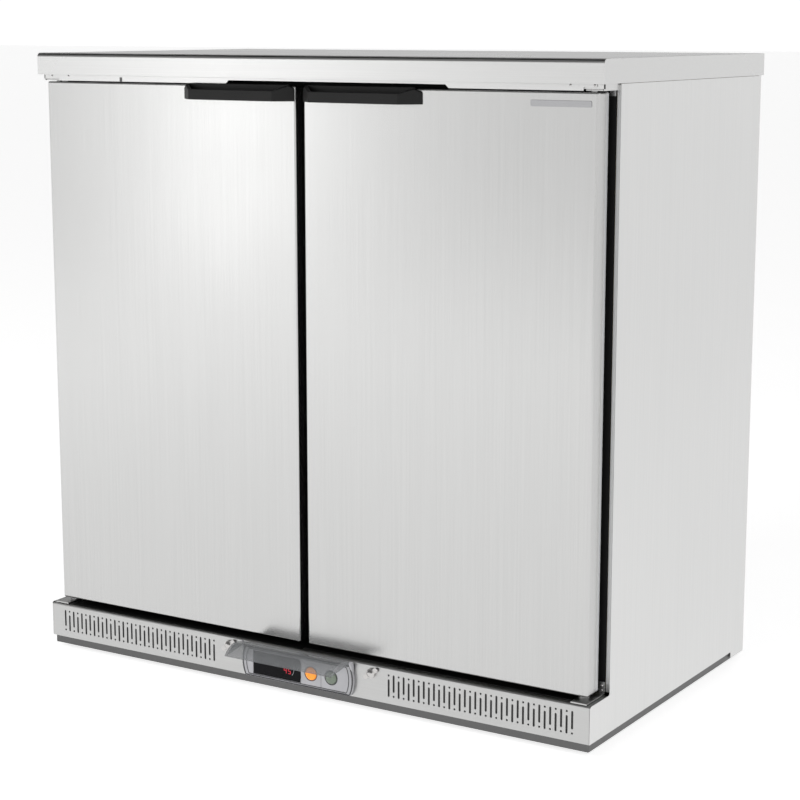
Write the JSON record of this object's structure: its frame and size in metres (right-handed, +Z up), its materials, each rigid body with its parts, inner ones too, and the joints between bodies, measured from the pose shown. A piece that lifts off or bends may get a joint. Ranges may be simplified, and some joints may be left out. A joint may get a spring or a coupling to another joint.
{
  "type": "under counter fridge",
  "caption": "Two-door stainless steel under-counter bottle cooler with black finger-pull handles, pierced base grille and a control unit under a clear flap.",
  "frame": {"origin": "on the floor, at the middle of the footprint with the flap open", "axes": "+X to the right as seen from the front, +Y to the back, +Z up"},
  "size_m": [0.9, 0.563, 0.88],
  "materials": {
    "stainless": "brushed stainless steel sheet",
    "galvanised": "galvanised steel sheet",
    "black_plastic": "matte black plastic",
    "gasket": "soft black magnetic gasket",
    "foam": "rigid polyurethane foam",
    "liner": "pale satin sheet",
    "wire": "bright plated wire",
    "copper": "copper pipe",
    "black_steel": "black painted steel",
    "aluminium": "aluminium fins",
    "clear": "clear plastic",
    "grey_plastic": "light grey plastic",
    "orange": "translucent orange plastic",
    "green_grey": "translucent grey-green plastic",
    "lamp": "white diffuser"
  },
  "bodies": {
    "cabinet": {"base_front_panel": "stainless", "base_tray": "galvanised", "bottom_hinge_left": "stainless", "bottom_hinge_right": "stainless", "breaker_frame": "black_plastic", "centre_mullion": "black_plastic", "compressor": "black_steel", "condensate_pan": "black_plastic", "condenser_coil": "aluminium", "condenser_fan_motor": "black_steel", "condenser_shroud": "galvanised", "control_bezel": "grey_plastic", "controller": "black_plastic", "discharge_line": "copper", "evaporator_coil": "aluminium", "evaporator_cover": "liner", "evaporator_fan_motor": "black_steel", "filter_drier": "copper", "inner_liner": "liner", "insulation": "foam", "interior_light": "lamp", "liquid_line": "copper", "pilaster_centre_front": "galvanised", "pilaster_centre_rear": "galvanised", "pilaster_left_front": "galvanised", "pilaster_left_rear": "galvanised", "pilaster_right_front": "galvanised", "pilaster_right_rear": "galvanised", "power_inlet": "black_plastic", "rear_panel": "galvanised", "shelf_left_lower": "wire", "shelf_left_upper": "wire", "shelf_right_lower": "wire", "shelf_right_upper": "wire", "side_panel_left": "stainless", "side_panel_right": "stainless", "suction_line": "copper", "top_fascia": "stainless", "top_hinge_left": "stainless", "top_hinge_right": "stainless", "worktop": "stainless"},
    "left_door": {"left_door_skin": "stainless", "left_door_inner_panel": "liner", "left_door_gasket": "gasket", "left_door_handle": "black_plastic"},
    "right_door": {"right_door_skin": "stainless", "right_door_inner_panel": "liner", "right_door_gasket": "gasket", "right_door_handle": "black_plastic"},
    "control_flap": {"control_flap": "clear"},
    "light_button": {"light_button": "orange"},
    "power_button": {"power_button": "green_grey"},
    "evaporator_fan": {"evaporator_fan": "black_plastic"},
    "condenser_fan": {"condenser_fan": "black_plastic"},
    "foot_front_left": {"foot_front_left": "black_steel"},
    "foot_front_right": {"foot_front_right": "black_steel"},
    "foot_rear_left": {"foot_rear_left": "black_steel"},
    "foot_rear_right": {"foot_rear_right": "black_steel"},
    "wing_screw_left": {"wing_screw_left": "stainless"},
    "wing_screw_right": {"wing_screw_right": "stainless"}
  },
  "joints": [
    {"name": "left_door_swing", "type": "hinge", "parent": "cabinet", "child": "left_door", "pos_m": [-0.427, -0.20203, 0.4576], "axis": [0, 0, -1], "range_deg": [0, 110]},
    {"name": "right_door_swing", "type": "hinge", "parent": "cabinet", "child": "right_door", "pos_m": [0.427, -0.20203, 0.4576], "axis": [0, 0, 1], "range_deg": [0, 110]},
    {"name": "control_flap_hinge", "type": "hinge", "parent": "cabinet", "child": "control_flap", "pos_m": [0, -0.23603, 0.067], "axis": [-1, 0, 0], "range_deg": [-80, 79]},
    {"name": "light_button_press", "type": "slide", "parent": "cabinet", "child": "light_button", "axis": [0, 1, 0], "range_m": [0, 0.003], "stiffness_N_per_m": 500},
    {"name": "power_button_press", "type": "slide", "parent": "cabinet", "child": "power_button", "axis": [0, 1, 0], "range_m": [0, 0.003], "stiffness_N_per_m": 500},
    {"name": "evaporator_fan_spin", "type": "hinge", "parent": "cabinet", "child": "evaporator_fan", "pos_m": [0, 0.18547, 0.696], "axis": [0, 1, 0], "continuous": true},
    {"name": "condenser_fan_spin", "type": "hinge", "parent": "cabinet", "child": "condenser_fan", "pos_m": [-0.001, 0.17797, 0.14], "axis": [1, 0, 0], "continuous": true},
    {"name": "foot_front_left_turn", "type": "hinge", "parent": "cabinet", "child": "foot_front_left", "pos_m": [-0.4, -0.17403, 0.004], "axis": [0, 0, 1], "continuous": true},
    {"name": "foot_front_right_turn", "type": "hinge", "parent": "cabinet", "child": "foot_front_right", "pos_m": [0.4, -0.17403, 0.004], "axis": [0, 0, 1], "continuous": true},
    {"name": "foot_rear_left_turn", "type": "hinge", "parent": "cabinet", "child": "foot_rear_left", "pos_m": [-0.4, 0.22597, 0.004], "axis": [0, 0, 1], "continuous": true},
    {"name": "foot_rear_right_turn", "type": "hinge", "parent": "cabinet", "child": "foot_rear_right", "pos_m": [0.4, 0.22597, 0.004], "axis": [0, 0, 1], "continuous": true},
    {"name": "wing_screw_left_turn", "type": "hinge", "parent": "cabinet", "child": "wing_screw_left", "pos_m": [-0.1195, -0.22833, 0.057], "axis": [0, 1, 0], "range_deg": [0, 90]},
    {"name": "wing_screw_right_turn", "type": "hinge", "parent": "cabinet", "child": "wing_screw_right", "pos_m": [0.1195, -0.22833, 0.057], "axis": [0, 1, 0], "range_deg": [0, 90]}
  ]
}
